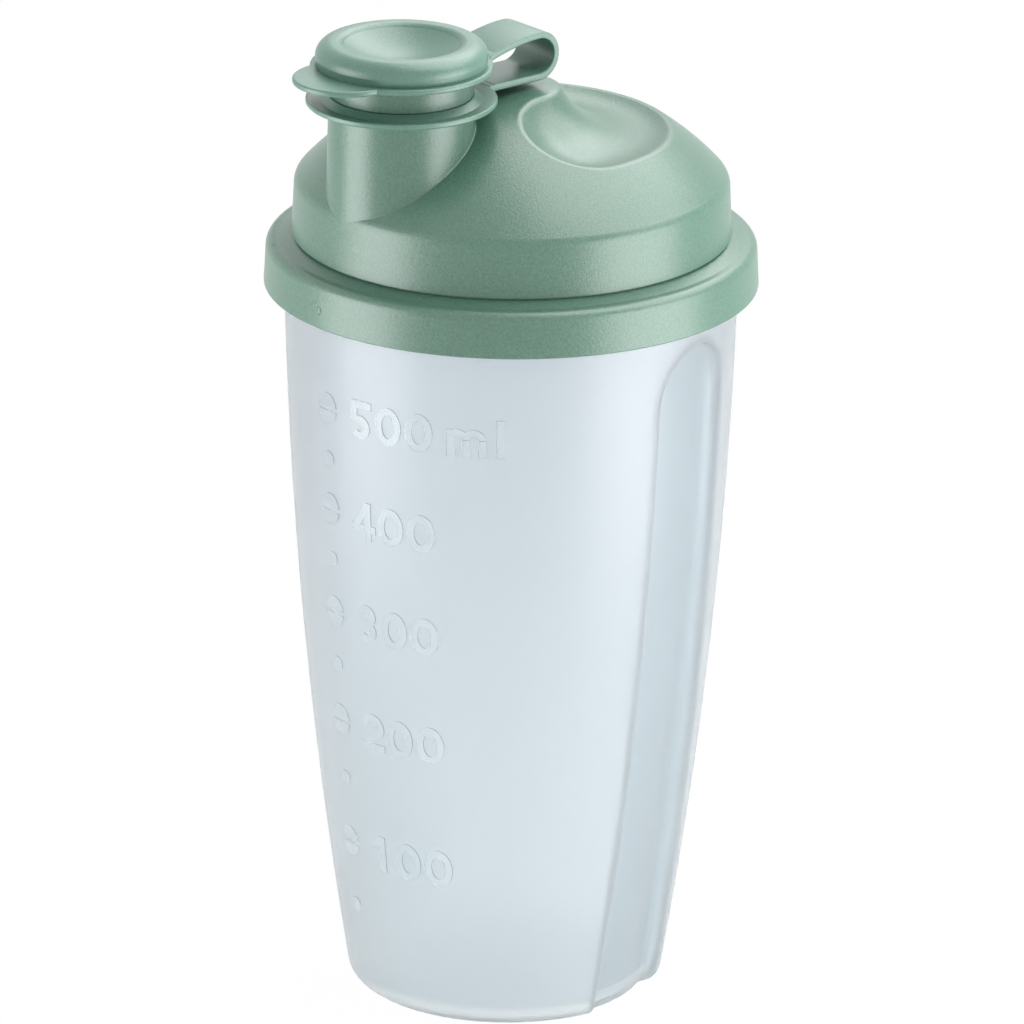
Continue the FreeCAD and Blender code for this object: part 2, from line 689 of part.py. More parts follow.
scoop = trough(top, "trough", "trough_ball")
scoop_edge = rounded(top, "trough_round_edge", scoop, "trough_edge", trough_rim)
back = "-spout_d + "
sk = outline(top, "YZ_Plane", "spout_section", [
    ("-spout_d", "foot_top"),
    (back + "spout_foot_r", "foot_top"),
    (back + "spout_top_r", "spout_step"),
    (back + "groove_r", "spout_step"),
    (back + "groove_r", "spout_step + groove_len"),
    (back + "tube_r", "spout_step + groove_len"),
    (back + "tube_r", "tube_top - tube_lip", "tube_lip", 1),
    (back + "tube_r - tube_lip", "tube_top"),
    ("-spout_d", "tube_top"),
], axis_x="-spout_d")
spout = turned(top, "spout_solid", sk, axis="Axis0")
# Gate mark: the small oval left by moulding, low on the collar under the spout.
gate = top.newObject("PartDesign::AdditiveEllipsoid", "gate_mark")
gate.setExpression("Radius1", bind("gate_h/2"))
gate.setExpression("Radius2", bind("gate_w/2"))
gate.setExpression("Radius3", bind("gate_out*2"))
gate.setExpression("Placement.Base.y", bind(
    "gate_out - collar_r + collar_draft*(gate_z - collar_edge)/(collar_mid - collar_edge)"))
gate.setExpression("Placement.Base.z", bind("gate_z"))
doc.recompute()

# Lid inside: collar channel for the neck, inner lip, dome and bore.
room = new_body("lid_inside")
sk = outline(room, "YZ_Plane", "room_section", [
    ("0", "-1"),
    ("collar_in", "-1"),
    ("collar_in", "roof - 1"),
    ("roof_r", "roof"),
    ("lip_out", "roof"),
    ("lip_out", "lip_end"),
    ("lip_in", "lip_end"),
    ("lip_in", "dome_c + sqrt(inner_r^2 - lip_in^2)", "inner_r", 1),
    ("0", "dome_top - lid_wall"),
])
turned(room, "room_solid", sk)
trough(room, "trough_under", "(trough_ball + lid_wall)")
sk = outline(room, "YZ_Plane", "bore_section", [
    ("-spout_d", "collar_top"),
    (back + "bore_r", "collar_top"),
    (back + "bore_r", "tube_top + 2"),
    ("-spout_d", "tube_top + 2"),
], axis_x="-spout_d")
bore = turned(room, "bore_solid", sk, axis="Axis0")
shell = joined("Part::Cut", "lid_shell", top, room)
lugs = new_body("lid_thread")
rib(lugs, "lid_rib", "collar_in", "collar_in - thread_height", "lid_start", "lid_turns")
lugs.Placement = FreeCAD.Placement(V(0, 0, 0), FreeCAD.Rotation(V(0, 0, 1), 10))
lugs.setExpression("Placement.Rotation.Angle", bind(
    "grip_turn + (lid_low + lid_start + thread_lead/4 - thread_start)*360/thread_lead"))
lid = joined("Part::MultiFuse", "lid", shell, [lugs])

# Sealing ring in the channel's roof, at the height of the beaker's rim.
seal = new_body("lid_seal")
sk = outline(seal, "XZ_Plane", "seal_section", [
    ("lip_out + seal_gap", "rim_z"),
    ("roof_r - seal_gap", "rim_z"),
    ("roof_r - seal_gap", "rim_z + seal_thick"),
    ("lip_out + seal_gap", "rim_z + seal_thick"),
])
turned(seal, "seal_solid", sk)

# Mixing sieve: perforated plate with a band that is pushed into the inner lip.
sieve = new_body("mixing_sieve")
sk = outline(sieve, "XZ_Plane", "sieve_section", [
    ("0", "sieve_low"),
    ("sieve_r", "sieve_low"),
    ("sieve_r", "sieve_low + sieve_band"),
    ("sieve_r - sieve_wall", "sieve_low + sieve_band"),
    ("sieve_r - sieve_wall", "sieve_low + sieve_thick"),
    ("0", "sieve_low + sieve_thick"),
])
turned(sieve, "sieve_solid", sk)
sk = circle_sketch(sieve, "XY_Plane", "hole_middle", "0", "0", "sieve_hole/2", "sieve_low - 1")
padded(sieve, "hole_0", sk, "sieve_thick + 2", cut=True, back=True)
for i in range(1, 5):
    sk = circle_sketch(sieve, "XY_Plane", "hole_round_%d" % i, "%d*sieve_pitch" % i, "0",
                       "sieve_hole/2", "sieve_low - 1")
    hole = padded(sieve, "hole_%d" % i, sk, "sieve_thick + 2", cut=True, back=True)
    repeated(sieve, "holes_%d" % i, [hole], 6 * i)

# Retaining ring: hub in the spout's groove, saucer flange and a lug for the strap.
ring = new_body("retaining_ring")
sk = outline(ring, "YZ_Plane", "ring_section", [
    (back + "ring_in", "ring_low"),
    (back + "ring_hub_r", "ring_low"),
    (back + "ring_r - 0.3", "rim_low"),
    (back + "ring_r", "rim_low + 0.3"),
    (back + "ring_r", "rim_low + ring_rim - 0.3", "0.3", 1),
    (back + "ring_r - 0.3", "rim_low + ring_rim"),
    (back + "ring_r - 0.8", "rim_low + ring_rim"),
    (back + "ring_hub_r + 0.5", "rim_low + ring_rim - 0.35"),
    (back + "ring_in + 0.9", "ring_high"),
    (back + "ring_in", "ring_high"),
], axis_x="-spout_d")
turned(ring, "ring_solid", sk, axis="Axis0")
half = "(strap_width/2)"
sk = outline(ring, "XY_Plane", "ring_lug_section", [
    ("-" + half, back + "ring_r - 1"),
    (half, back + "ring_r - 1"),
    (half, back + "lug_ring"),
    ("-" + half, back + "lug_ring"),
], lift="rim_low")
padded(ring, "ring_lug", sk, "strap_thick")

# Strap: a band looped back over itself, from the ring's lug to just short of the cap's lug.
strap = new_body("stopper_strap")
thin = " - strap_thick/2"
thick = " + strap_thick/2"
sk = outline(strap, "YZ_Plane", "strap_side", [
    (back + "lug_ring", "strap_low" + thin),
    (back + "strap_reach", "strap_low" + thin, "strap_loop" + thick, 1),
    (back + "strap_reach + strap_loop" + thick, "strap_mid", "strap_loop" + thick, 1),
    (back + "strap_reach", "strap_high" + thick, "strap_sweep", 1),
    (back + "strap_near", "strap_end" + thick),
    (back + "strap_near", "strap_end" + thin, "strap_sweep", -1),
    (back + "strap_reach", "strap_high" + thin, "strap_loop" + thin, -1),
    (back + "strap_reach + strap_loop" + thin, "strap_mid", "strap_loop" + thin, -1),
    (back + "strap_reach", "strap_low" + thick),
    (back + "lug_ring", "strap_low" + thick),
])
padded(strap, "strap_band", sk, "strap_width", both=True)

# Stopper cap: flange, rounded head with a finger dimple, pull tab in front, lug behind.
cap = new_body("stopper_cap")
flange_top = "(cap_seat + cap_flange)"
sk = outline(cap, "YZ_Plane", "cap_section", [
    ("-spout_d", "cap_seat"),
    (back + "cap_flange_r", "cap_seat"),
    (back + "cap_flange_r", flange_top),
    (back + "cap_head_r - 0.3", flange_top),
    (back + "cap_head_r", "cap_top - cap_round", "cap_round", 1),
    (back + "cap_head_r - cap_round", "cap_top"),
    (back + "dimple_r + 1.5", "cap_top", "2", 1),
    (back + "dimple_r", "cap_top - 0.7", "bowl_r", -1),
    ("-spout_d", "cap_top - dimple_depth"),
], axis_x="-spout_d")
turned(cap, "cap_solid", sk, axis="Axis0")
sk = circle_sketch(cap, "XY_Plane", "tab_round", "0", "-spout_d - tab_d", "tab_r", "cap_seat")
tab = padded(cap, "pull_tab", sk, "cap_flange")


def flange_rim(m, e):
    # Upper and lower edges round the flange and the pull tab.
    level = min(abs(m.z - num("cap_seat")), abs(m.z - num(flange_top)))
    return level < 1e-4 and math.hypot(m.x, m.y + num("spout_d")) > num("cap_head_r") + 0.3


rounded(cap, "flange_edge", tab, "cap_edge", flange_rim)
sk = outline(cap, "XY_Plane", "cap_lug_section", [
    ("-" + half, back + "cap_flange_r - 2"),
    (half, back + "cap_flange_r - 2"),
    (half, back + "lug_cap"),
    ("-" + half, back + "lug_cap"),
], lift="cap_seat")
padded(cap, "cap_lug", sk, "cap_flange")
sk = outline(cap, "YZ_Plane", "cap_hollow_section", [
    ("-spout_d", "cap_seat - 1"),
    (back + "tube_r + cap_room", "cap_seat - 1"),
    (back + "tube_r + cap_room", "cap_roof - 1"),
    (back + "tube_r + cap_room - 1", "cap_roof"),
    (back + "sqrt(under_r^2 - (under_r - dimple_depth)^2)", "cap_roof", "under_r", -1),
    ("-spout_d", "cap_roof - dimple_depth"),
], axis_x="-spout_d")
turned(cap, "cap_hollow", sk, axis="Axis0", cut=True)

for piece in (lid, ring, strap, cap):
    piece.Placement = FreeCAD.Placement(V(0, 0, num("lid_z")), FreeCAD.Rotation())
    piece.setExpression("Placement.Base.z", bind("lid_z"))
doc.recompute()

# Every object is sound before anything is written.
for o in doc.Objects:
    if "Invalid" in o.State or "Error" in o.State:
        raise RuntimeError("%s did not rebuild: %s" % (o.Name, o.State))
os.makedirs("parts", exist_ok=True)
for o in (beaker, lid, seal, sieve, ring, strap, cap):
    o.Label = o.Name
    if o.Shape.isNull() or not o.Shape.isValid():
        raise RuntimeError("%s has no sound shape" % o.Label)
    o.Shape.exportStep("parts/%s.step" % o.Label)
    box = o.Shape.BoundBox
    print(o.Label, len(o.Shape.Solids), round(o.Shape.Volume), [round(c, 2) for c in (
        box.XMin, box.XMax, box.YMin, box.YMax, box.ZMin, box.ZMax)])
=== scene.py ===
# Dressing shaker: finishes, soft strap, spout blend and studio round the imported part.
# Metres, in the part's own frame: base centre at the origin, Z up, spout towards -Y.
import math

import bmesh
import bpy
from mathutils import Matrix, Vector


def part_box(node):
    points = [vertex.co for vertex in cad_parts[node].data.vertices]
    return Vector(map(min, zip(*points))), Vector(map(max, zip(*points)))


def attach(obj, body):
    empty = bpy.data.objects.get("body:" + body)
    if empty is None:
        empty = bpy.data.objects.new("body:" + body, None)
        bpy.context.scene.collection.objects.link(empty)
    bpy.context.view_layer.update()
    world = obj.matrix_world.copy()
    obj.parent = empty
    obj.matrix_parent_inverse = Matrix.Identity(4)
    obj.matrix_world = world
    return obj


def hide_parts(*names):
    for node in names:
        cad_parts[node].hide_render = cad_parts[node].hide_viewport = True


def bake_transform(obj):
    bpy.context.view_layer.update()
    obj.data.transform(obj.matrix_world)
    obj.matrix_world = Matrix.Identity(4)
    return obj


bl_info = {
    "name": "Dressing shaker",
    "version": (1, 0, 0),
    "blender": (4, 5, 0),
    "location": "3D View > Sidebar > Shaker",
    "description": "Finishes, strap, spout blend and studio of a dressing shaker",
    "category": "Object",
}

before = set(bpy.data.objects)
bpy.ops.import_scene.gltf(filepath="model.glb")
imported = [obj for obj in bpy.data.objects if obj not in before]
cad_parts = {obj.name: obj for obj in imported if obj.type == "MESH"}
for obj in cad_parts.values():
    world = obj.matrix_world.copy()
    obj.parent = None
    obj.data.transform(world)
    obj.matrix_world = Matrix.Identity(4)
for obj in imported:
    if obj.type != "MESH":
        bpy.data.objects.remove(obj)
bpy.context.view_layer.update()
MM = 0.001
LID_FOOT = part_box("lid")[0].z
RING_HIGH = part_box("retaining_ring")[1]
STRAP_LOW, STRAP_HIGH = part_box("stopper_strap")

# All plastics: refraction, and the detail of the noise behind their textures.
PLASTIC_IOR = 1.49
NOISE_DETAIL = 2.0

# Opaque pieces: specular level, roughness of the grain's noise, the stretch of that noise that shades the
# colour, and the grain's height as a share of its size.
GRAIN_SPECULAR = 1.0
GRAIN_ROUGHNESS = 0.6
GRAIN_FROM = 0.35
GRAIN_TO = 0.65
GRAIN_HEIGHT = 0.35

# Beaker: specular level, share of light let through, spread of the frosting's gloss and its height as a
# share of its size, and the heights, as shares of the neck's, between which painted shade deepens the tone.
FROST_SPECULAR = 0.85
FROST_CLEAR = 0.85
FROST_SPREAD = 0.04
FROST_HEIGHT = 0.3
PAINTED_SHADE_FROM = 0.2
PAINTED_SHADE_TO = 0.85

# Finger recesses: the depths, as shares of the whole, between which the floor takes on its painted shade, and
# the height below which the base's rounding is left out. Then the share of the scale's relief that is raised.
RECESS_SHADE_FROM = 0.7
RECESS_SHADE_TO = 0.95
BASE_END = 4.0 * MM
RAISED_SHARE = 0.3

# Rounding at the spout's foot: the angles from the spout's front where it starts and is full, its sections
# and the steps of each, its least radius, its distance below the spout's step and how it shrinks to keep
# that, the rounds that settle a section, the depth its corner is buried, and the angle of a sharp edge.
BLEND_START = math.radians(15.0)
BLEND_FULL = math.radians(40.0)
BLEND_SECTIONS = 220
BLEND_STEPS = 10
BLEND_LEAST = 0.03 * MM
BLEND_BELOW = 0.3 * MM
BLEND_SHRINK = 0.96
BLEND_ROUNDS = 8
BLEND_BURIED = 0.5 * MM
SHARP_EDGE = math.radians(40.0)

# Strap: its sections, the steps of its path and of its rounded edges, and its least number of faces.
STRAP_SECTIONS = 160
STRAP_PATH_STEPS = 24
STRAP_EDGE_STEPS = 5
STRAP_LEAST_FACES = 500

# Strap's path: handles of a quarter circle and of the upper leg as shares of radius and run, handles at the
# root and before the loop, the root's start behind its lug and its dive in skins, and the tail's cut.
QUARTER_HANDLE = 0.5523
LEG_HANDLE = 0.345
ROOT_HANDLE = 0.6 * MM
LOOP_HANDLE = 3.0 * MM
ROOT_BEHIND = 1.4 * MM
ROOT_DIVE = 3.2
TAIL_CUT = 2.5 * MM

# Degrees round the loop, from its outermost point, between which the strap gets slimmer, gets half of that
# back and then the rest; and the share of it that the strap's width takes part in.
NEST_IN = (-75.0, -40.0)
NEST_HALF = (20.0, 50.0)
NEST_OUT = (80.0, 90.0)
NEST_WIDTH = 0.12

# Studio: backdrop, camera and softboxes. A softbox has a name, the property that holds its power, its turn
# from the camera and its tilt in degrees, then distance from the axis, height, width and length in metres.
WHITE = (1.0, 1.0, 1.0, 1.0)
PAPER_GREY = (0.9, 0.9, 0.9, 1.0)
FLOOR_HALF = 4.0
FLOOR_Z = -0.1 * MM
SENSOR_WIDTH = 36.0
CLIP_NEAR = 0.05
CLIP_FAR = 50.0
BOXES = (
    ("left_box", "left", -69.0, 0.0, 0.25, 0.13, 0.17, 0.26),
    ("right_box", "right", 63.0, 0.0, 0.25, 0.12, 0.22, 0.24),
    ("top_box", "top", 108.0, 60.0, 0.42, 0.86, 0.9, 0.9),
    ("back_box", "back", 165.0, 42.0, 0.6, 0.66, 0.5, 0.4),
)


def length(name, description, value):
    # A size in metres that a user may change.
    return bpy.props.FloatProperty(name=name, description=description, default=value,
                                   unit="LENGTH", subtype="DISTANCE", precision=5)


def angle(name, description, degrees):
    return bpy.props.FloatProperty(name=name, description=description,
                                   default=math.radians(degrees), unit="ROTATION", subtype="ANGLE")


def factor(name, description, value):
    return bpy.props.FloatProperty(name=name, description=description, default=value)


def colour(name, description, code):
    # A colour as an sRGB hex code.
    return bpy.props.StringProperty(name=name, description=description, default=code)


class ShakerSizes(bpy.types.PropertyGroup):
    base_r: length("Base radius", "Beaker's outer radius at the base plane", 30.1 * MM)
    neck_r: length("Neck radius", "Beaker's outer radius at the neck", 43.2 * MM)
    neck_z: length("Neck height", "Where the curved wall meets the straight neck", 141.4 * MM)
    wall_arc: length("Wall arc", "Radius of the beaker wall's gentle bulge", 1000.0 * MM)
    relief: length("Relief", "Height of the raised scale on the wall", 0.22 * MM)
    grip_half: length("Grip half width", "Half the width of a finger recess", 10.7 * MM)
    grip_deep: length("Grip depth", "Depth of a finger recess", 3.0 * MM)
    grip_turn: angle("Grip turn", "Beaker's turn against the spout", 16.3)
    dome_r: length("Dome radius", "Radius of the lid's dome", 55.0 * MM)
    dome_top: length("Dome apex", "Dome's apex above the collar's lower edge", 39.35 * MM)
    drum_r: length("Drum radius", "Lid's radius where the dome's shoulder begins", 41.4 * MM)
    shoulder: length("Shoulder", "Rounding between drum and dome", 3.0 * MM)
    spout_y: length("Spout axis", "Distance of the spout's axis in front of the lid's", 27.2 * MM)
    spout_foot_r: length("Spout foot", "Spout's radius at its foot", 14.35 * MM)
    spout_top_r: length("Spout top", "Spout's radius under the ring", 13.75 * MM)
    spout_foot: length("Spout foot height", "Spout's foot above the collar's lower edge", 10.3 * MM)
    spout_step: length("Spout step", "Spout's shoulder above the collar's lower edge", 40.05 * MM)
    blend_r: length("Spout blend", "Hollow rounding between spout and dome", 0.3 * MM)
    strap_thick: length("Strap thickness", "Thickness of the strap", 1.2 * MM)
    strap_skin: length("Strap skin", "What the soft strap adds on each side, round the lugs", 0.1 * MM)
    strap_edge: length("Strap edge", "Rounding of the strap's edges", 0.34 * MM)
    strap_drop: length("Strap drop", "Fall of the strap from its crest to the cap", 1.8 * MM)
    strap_tuck: length("Strap tuck", "Run of the strap's ends over the lugs", 1.3 * MM)
    strap_nest: factor("Strap nest", "Share that the strap's loop is slimmer by in its middle", 0.07)


class ShakerFinish(bpy.types.PropertyGroup):
    green: colour("Lid green", "Moulded lid", "527968")
    stopper: colour("Stopper green", "Ring, strap and cap", "5B8474")
    # Painted light and shade: frosted is the beaker's colour with painted shade under the lid, foot the same
    # with painted light at its foot.
    frosted: colour("Beaker", "Frosted beaker wall under the lid", "ECF2F6")
    foot: colour("Beaker foot", "Frosted beaker wall at its foot", "F3FAFD")
    # The recess colour is painted shade on the floors of the finger recesses.
    recess_painted_shade: colour("Grip", "Floor of the finger recesses", "DEE8ED")
    seal: colour("Seal", "Sealing ring", "E4E8E6")
    sieve: colour("Sieve", "Mixing sieve", "EEF2F3")
    grain: length("Grain", "Size of the lid's spark-eroded grain", 0.42 * MM)
    soft_grain: length("Soft grain", "Size of the stopper's finer grain", 0.38 * MM)
    frost: length("Frost", "Size of the beaker's frosting", 0.3 * MM)


class ShakerStudio(bpy.types.PropertyGroup):
    azimuth: angle("Azimuth", "Camera's turn round the part", 50.0)
    elevation: angle("Elevation", "Camera's height above the horizon", 18.49)
    roll: angle("Roll", "Camera's roll", 0.54)
    drop: angle("Drop", "Camera's tilt below that point", 1.42)
    pan: angle("Pan", "Camera's aim to the right of the part's axis", 0.005)
    aim: length("Aim", "Height on the beaker's axis that the camera turns round", 142.0 * MM)
    distance: length("Distance", "Camera to that point on the axis", 1.8)
    lens: factor("Lens", "Focal length in millimetres", 332.4)
    paper: factor("Paper", "Share of the floor's own white where it is the backdrop", 0.985)
    fill: factor("Fill", "Strength of the light from all round", 0.29)
    left: factor("Left box", "Power of the left softbox in watts", 0.5)
    right: factor("Right box", "Power of the right softbox in watts", 0.6)
    top: factor("Top box", "Power of the softbox overhead in watts", 7.4)
    back: factor("Back box", "Power of the softbox behind and above in watts", 1.8)


def linear(code):
    # sRGB hex code to a linear colour with alpha.
    parts = [int(code[i:i + 2], 16) / 255.0 for i in (0, 2, 4)]
    parts = [c / 12.92 if c <= 0.04045 else ((c + 0.055) / 1.055) ** 2.4 for c in parts]
    return (*parts, 1.0)


def ramp(value, low, high):
    # 0 up to low, 1 from high on, straight in between.
    return min(max((value - low) / (high - low), 0.0), 1.0)


def towards(azimuth, elevation):
    # Direction from the part to a camera or lamp; azimuth 0 is in front of the spout.
    level = math.cos(elevation)
    return Vector((math.sin(azimuth) * level, -math.cos(azimuth) * level, math.sin(elevation)))


def add(tree, kind, inputs=None, **settings):
    # One node with its settings, its values and its links.
    made = tree.nodes.new(kind)
    for key, value in settings.items():
        setattr(made, key, value)
    for key, value in (inputs or {}).items():
        if isinstance(value, bpy.types.NodeSocket):
            tree.links.new(value, made.inputs[key])
        else:
            made.inputs[key].default_value = value
    return made


def calc(tree, operation, *values):
    # One step of arithmetic on numbers and sockets.
    return add(tree, "ShaderNodeMath", dict(enumerate(values)), operation=operation).outputs[0]


def span(tree, value, limits):
    # A value mapped from one stretch of numbers to another, 0 to 1 where no limit is given.
    return add(tree, "ShaderNodeMapRange", {"Value": value, **limits}).outputs["Result"]


def mix(tree, share, first, second):
    # Two colours mixed by a share.
    return add(tree, "ShaderNodeMix", {"Factor": share, "A": first, "B": second}, data_type="RGBA").outputs[2]


def new_material(name):
    made = bpy.data.materials.new(name)
    made.use_nodes = True
    made.node_tree.nodes.clear()
    return made, made.node_tree


def finish_shader(tree, noise, relief, distance, values):
    # Plastic whose surface is roughened by a noise.
    bump = add(tree, "ShaderNodeBump", {"Height": noise, "Strength": relief, "Distance": distance})
    shader = add(tree, "ShaderNodeBsdfPrincipled", {"IOR": PLASTIC_IOR, "Normal": bump.outputs["Normal"],
                                                    **values})
    add(tree, "ShaderNodeOutputMaterial", {"Surface": shader.outputs["BSDF"]})


def moulded(name, code, grain, depth, rough, spread, mottle):
    # Opaque plastic from a spark-eroded mould: satin, with a fine even grain that breaks up highlights.
    made, tree = new_material(name)
    place = add(tree, "ShaderNodeTexCoord").outputs["Object"]
    fine = add(tree, "ShaderNodeTexNoise", {"Vector": place, "Scale": 1.0 / grain, "Detail": NOISE_DETAIL,
                                            "Roughness": GRAIN_ROUGHNESS}).outputs["Fac"]
    base = linear(code)
    dark = tuple(c * (1.0 - mottle) for c in base[:3]) + (1.0,)
    light = tuple(min(c * (1.0 + mottle), 1.0) for c in base[:3]) + (1.0,)
    tone = mix(tree, span(tree, fine, {"From Min": GRAIN_FROM, "From Max": GRAIN_TO}), dark, light)
    satin = span(tree, fine, {"To Min": rough - spread, "To Max": rough + spread})
    finish_shader(tree, fine, depth, grain * GRAIN_HEIGHT, {
        "Base Color": tone, "Roughness": satin, "Specular IOR Level": GRAIN_SPECULAR})
    return made


def wall_centre(sizes):
    # Centre of the arc that the beaker's bulged wall is turned from.
    rise = sizes.neck_z
    run = sizes.neck_r - sizes.base_r
    chord = math.hypot(run, rise)
    back = math.sqrt(sizes.wall_arc ** 2 - chord ** 2 / 4.0)
    return (sizes.base_r + sizes.neck_r) / 2.0 - rise / chord * back, rise / 2.0 + run / chord * back


def wall_radius(sizes, z):
    # Outer radius of the beaker's bulged wall at a height.
    cx, cz = wall_centre(sizes)
    return cx + math.sqrt(sizes.wall_arc ** 2 - (z - cz) ** 2)


def painted_recess_shade_mask(tree, place, height, sizes):
    # Mask of the painted shade: 1 on the floor of the finger recesses, 0 on the wall, by the depth below the
    # bulged wall.
    cx, cz = wall_centre(sizes)
    level = add(tree, "ShaderNodeVectorMath", {0: place, 1: (1.0, 1.0, 0.0)}, operation="MULTIPLY")
    radius = add(tree, "ShaderNodeVectorMath", {0: level.outputs[0]}, operation="LENGTH").outputs["Value"]
    lift = calc(tree, "SUBTRACT", height, cz)
    rest = calc(tree, "SUBTRACT", sizes.wall_arc ** 2, calc(tree, "MULTIPLY", lift, lift))
    wall = calc(tree, "ADD", calc(tree, "SQRT", rest), cx)
    deep = span(tree, calc(tree, "SUBTRACT", wall, radius), {
        "From Min": RECESS_SHADE_FROM * sizes.grip_deep, "From Max": RECESS_SHADE_TO * sizes.grip_deep})
    side = (-math.sin(sizes.grip_turn), math.cos(sizes.grip_turn), 0.0)
    across = add(tree, "ShaderNodeVectorMath", {0: place, 1: side}, operation="DOT_PRODUCT").outputs["Value"]
    within = calc(tree, "LESS_THAN", calc(tree, "ABSOLUTE", across), sizes.grip_half)
    above = calc(tree, "GREATER_THAN", height, BASE_END)
    return calc(tree, "MULTIPLY", calc(tree, "MULTIPLY", within, above), deep)


def translucent(name, finish, sizes, depth, rough):
    # Natural polypropylene: milky, lets light through, frosted by the mould's fine blasting.
    # Painted light and shade: lighter towards the foot, deeper towards the neck under the lid, darker on the
    # recess floors.
    made, tree = new_material(name)
    place = add(tree, "ShaderNodeTexCoord").outputs["Object"]
    fine = add(tree, "ShaderNodeTexNoise", {"Vector": place, "Scale": 1.0 / finish.frost,
                                            "Detail": NOISE_DETAIL}).outputs["Fac"]
    height = add(tree, "ShaderNodeSeparateXYZ", {"Vector": place}).outputs["Z"]
    # Painted light and shade by height: the foot's lighter colour below, the deeper one towards the neck.
    rise = span(tree, height, {"From Min": PAINTED_SHADE_FROM * sizes.neck_z, "From Max": PAINTED_SHADE_TO * sizes.neck_z})
    milk_with_painted_shade = mix(tree, rise, linear(finish.foot), linear(finish.frosted))
    # Painted shade on the recess floors.
    tone = mix(tree, painted_recess_shade_mask(tree, place, height, sizes), milk_with_painted_shade, linear(finish.recess_painted_shade))
    satin = span(tree, fine, {"To Min": rough - FROST_SPREAD, "To Max": rough + FROST_SPREAD})
    finish_shader(tree, fine, depth, finish.frost * FROST_HEIGHT, {
        "Base Color": tone, "Roughness": satin, "Transmission Weight": FROST_CLEAR,
        "Specular IOR Level": FROST_SPECULAR})
    return made


def shared(name, maker, *values, **shares):
    # A finish that several pieces wear is made once.
    return bpy.data.materials.get(name) or maker(name, *values, **shares)


def lid_green(finish):
    return shared("polypropylene_lid_grained", moulded, finish.green, finish.grain,
                  depth=0.33, rough=0.32, spread=0.05, mottle=0.16)


def stopper_green(finish):
    return shared("polyethylene_stopper_satin", moulded, finish.stopper, finish.soft_grain,
                  depth=0.3, rough=0.36, spread=0.04, mottle=0.1)


def dress(obj, *materials):
    obj.data.materials.clear()
    for made in materials:
        obj.data.materials.append(made)


def new_piece(name, verts, faces, material):
    # A smooth mesh at the origin, its place in its points.
    mesh = bpy.data.meshes.new(name)
    mesh.from_pydata(verts, [], faces)
    mesh.validate()
    obj = bpy.data.objects.new(name, mesh)
    bpy.context.scene.collection.objects.link(obj)
    mesh.materials.append(material)
    mesh.shade_smooth()
    return obj


class SHAKER_OT_beaker(bpy.types.Operator):
    """Frosted wall of the beaker, with its raised scale left polished"""
    bl_idname = "shaker.beaker"
    bl_label = "Beaker"

    def execute(self, context):
        sizes = context.scene.shaker_sizes
        finish = context.scene.shaker_finish
        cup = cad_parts["beaker"]
        dress(cup, translucent("polypropylene_natural_frosted", finish, sizes, depth=0.15, rough=0.36),
              translucent("polypropylene_natural_scale", finish, sizes, depth=0.05, rough=0.2))
        for face in cup.data.polygons:
            c = face.center
            raised = math.hypot(c.x, c.y) - wall_radius(sizes, c.z) > RAISED_SHARE * sizes.relief
            face.material_index = 1 if raised and c.z < sizes.neck_z else 0
        return {"FINISHED"}


def blend_section(sizes, turn, reach):
    # Hollow rounding at one angle round the spout: a ball rolled in the corner of spout and dome.
    out = Vector((math.sin(turn), -math.cos(turn), 0.0))
    axis = Vector((0.0, -sizes.spout_y, LID_FOOT))
    dome = Vector((0.0, 0.0, LID_FOOT + sizes.dome_top - sizes.dome_r))
    bend = sizes.drum_r - sizes.shoulder
    bend_z = dome.z + math.sqrt((sizes.dome_r - sizes.shoulder) ** 2 - bend ** 2)
    z = LID_FOOT + sizes.spout_step - sizes.blend_r
    for _ in range(BLEND_ROUNDS):
        share = (z - LID_FOOT - sizes.spout_foot) / (sizes.spout_step - sizes.spout_foot)
        wall = sizes.spout_foot_r + (sizes.spout_top_r - sizes.spout_foot_r) * share
        hub = axis + out * (wall + reach)
        far = math.hypot(hub.x, hub.y)
        z = dome.z + math.sqrt((sizes.dome_r + reach) ** 2 - far ** 2)
        low = dome
        if far / (z - dome.z) > bend / (bend_z - dome.z):
            low = Vector((hub.x / far * bend, hub.y / far * bend, bend_z))
            z = bend_z + math.sqrt(max((sizes.shoulder + reach) ** 2 - (far - bend) ** 2, 0.0))
    hub.z = z
    first = -out
    last = (low - hub).normalized()
    spread = first.angle(last)
    row = []
    for k in range(BLEND_STEPS + 1):
        t = k / BLEND_STEPS
        way = (first * math.sin((1 - t) * spread) + last * math.sin(t * spread)) / math.sin(spread)
        row.append(hub + way * reach)
    row.append(hub + (first + last) * (reach + BLEND_BURIED))
    return row


def blend_row(sizes, turn):
    # The section grows from the spout's front and is kept small enough to stay under the spout's step.
    grow = ramp(min(turn, 2.0 * math.pi - turn), BLEND_START, BLEND_FULL)
    grow = grow * grow * (3.0 - 2.0 * grow)
    reach = max(sizes.blend_r * grow, BLEND_LEAST)
    row = blend_section(sizes, turn, reach)
    while row[0].z > LID_FOOT + sizes.spout_step - BLEND_BELOW:
        reach *= BLEND_SHRINK
        row = blend_section(sizes, turn, reach)
    return row


def tube_faces(count, wide):
    # Faces of a closed bar of count lengths, whose sections have wide points each.
    faces = []
    for i in range(count):
        for k in range(wide):
            a = i * wide + k
            b = i * wide + (k + 1) % wide
            faces.append((a, b, b + wide, a + wide))
    faces.append(tuple(range(wide)))
    faces.append(tuple(range(count * wide + wide - 1, count * wide - 1, -1)))
    return faces


def sharpen(mesh):
    # Faces look outwards, and steep edges stay sharp.
    work = bmesh.new()
    work.from_mesh(mesh)
    bmesh.ops.recalc_face_normals(work, faces=work.faces)
    for edge in work.edges:
        if len(edge.link_faces) == 2 and edge.calc_face_angle() > SHARP_EDGE:
            edge.smooth = False
    work.to_mesh(mesh)
    work.free()


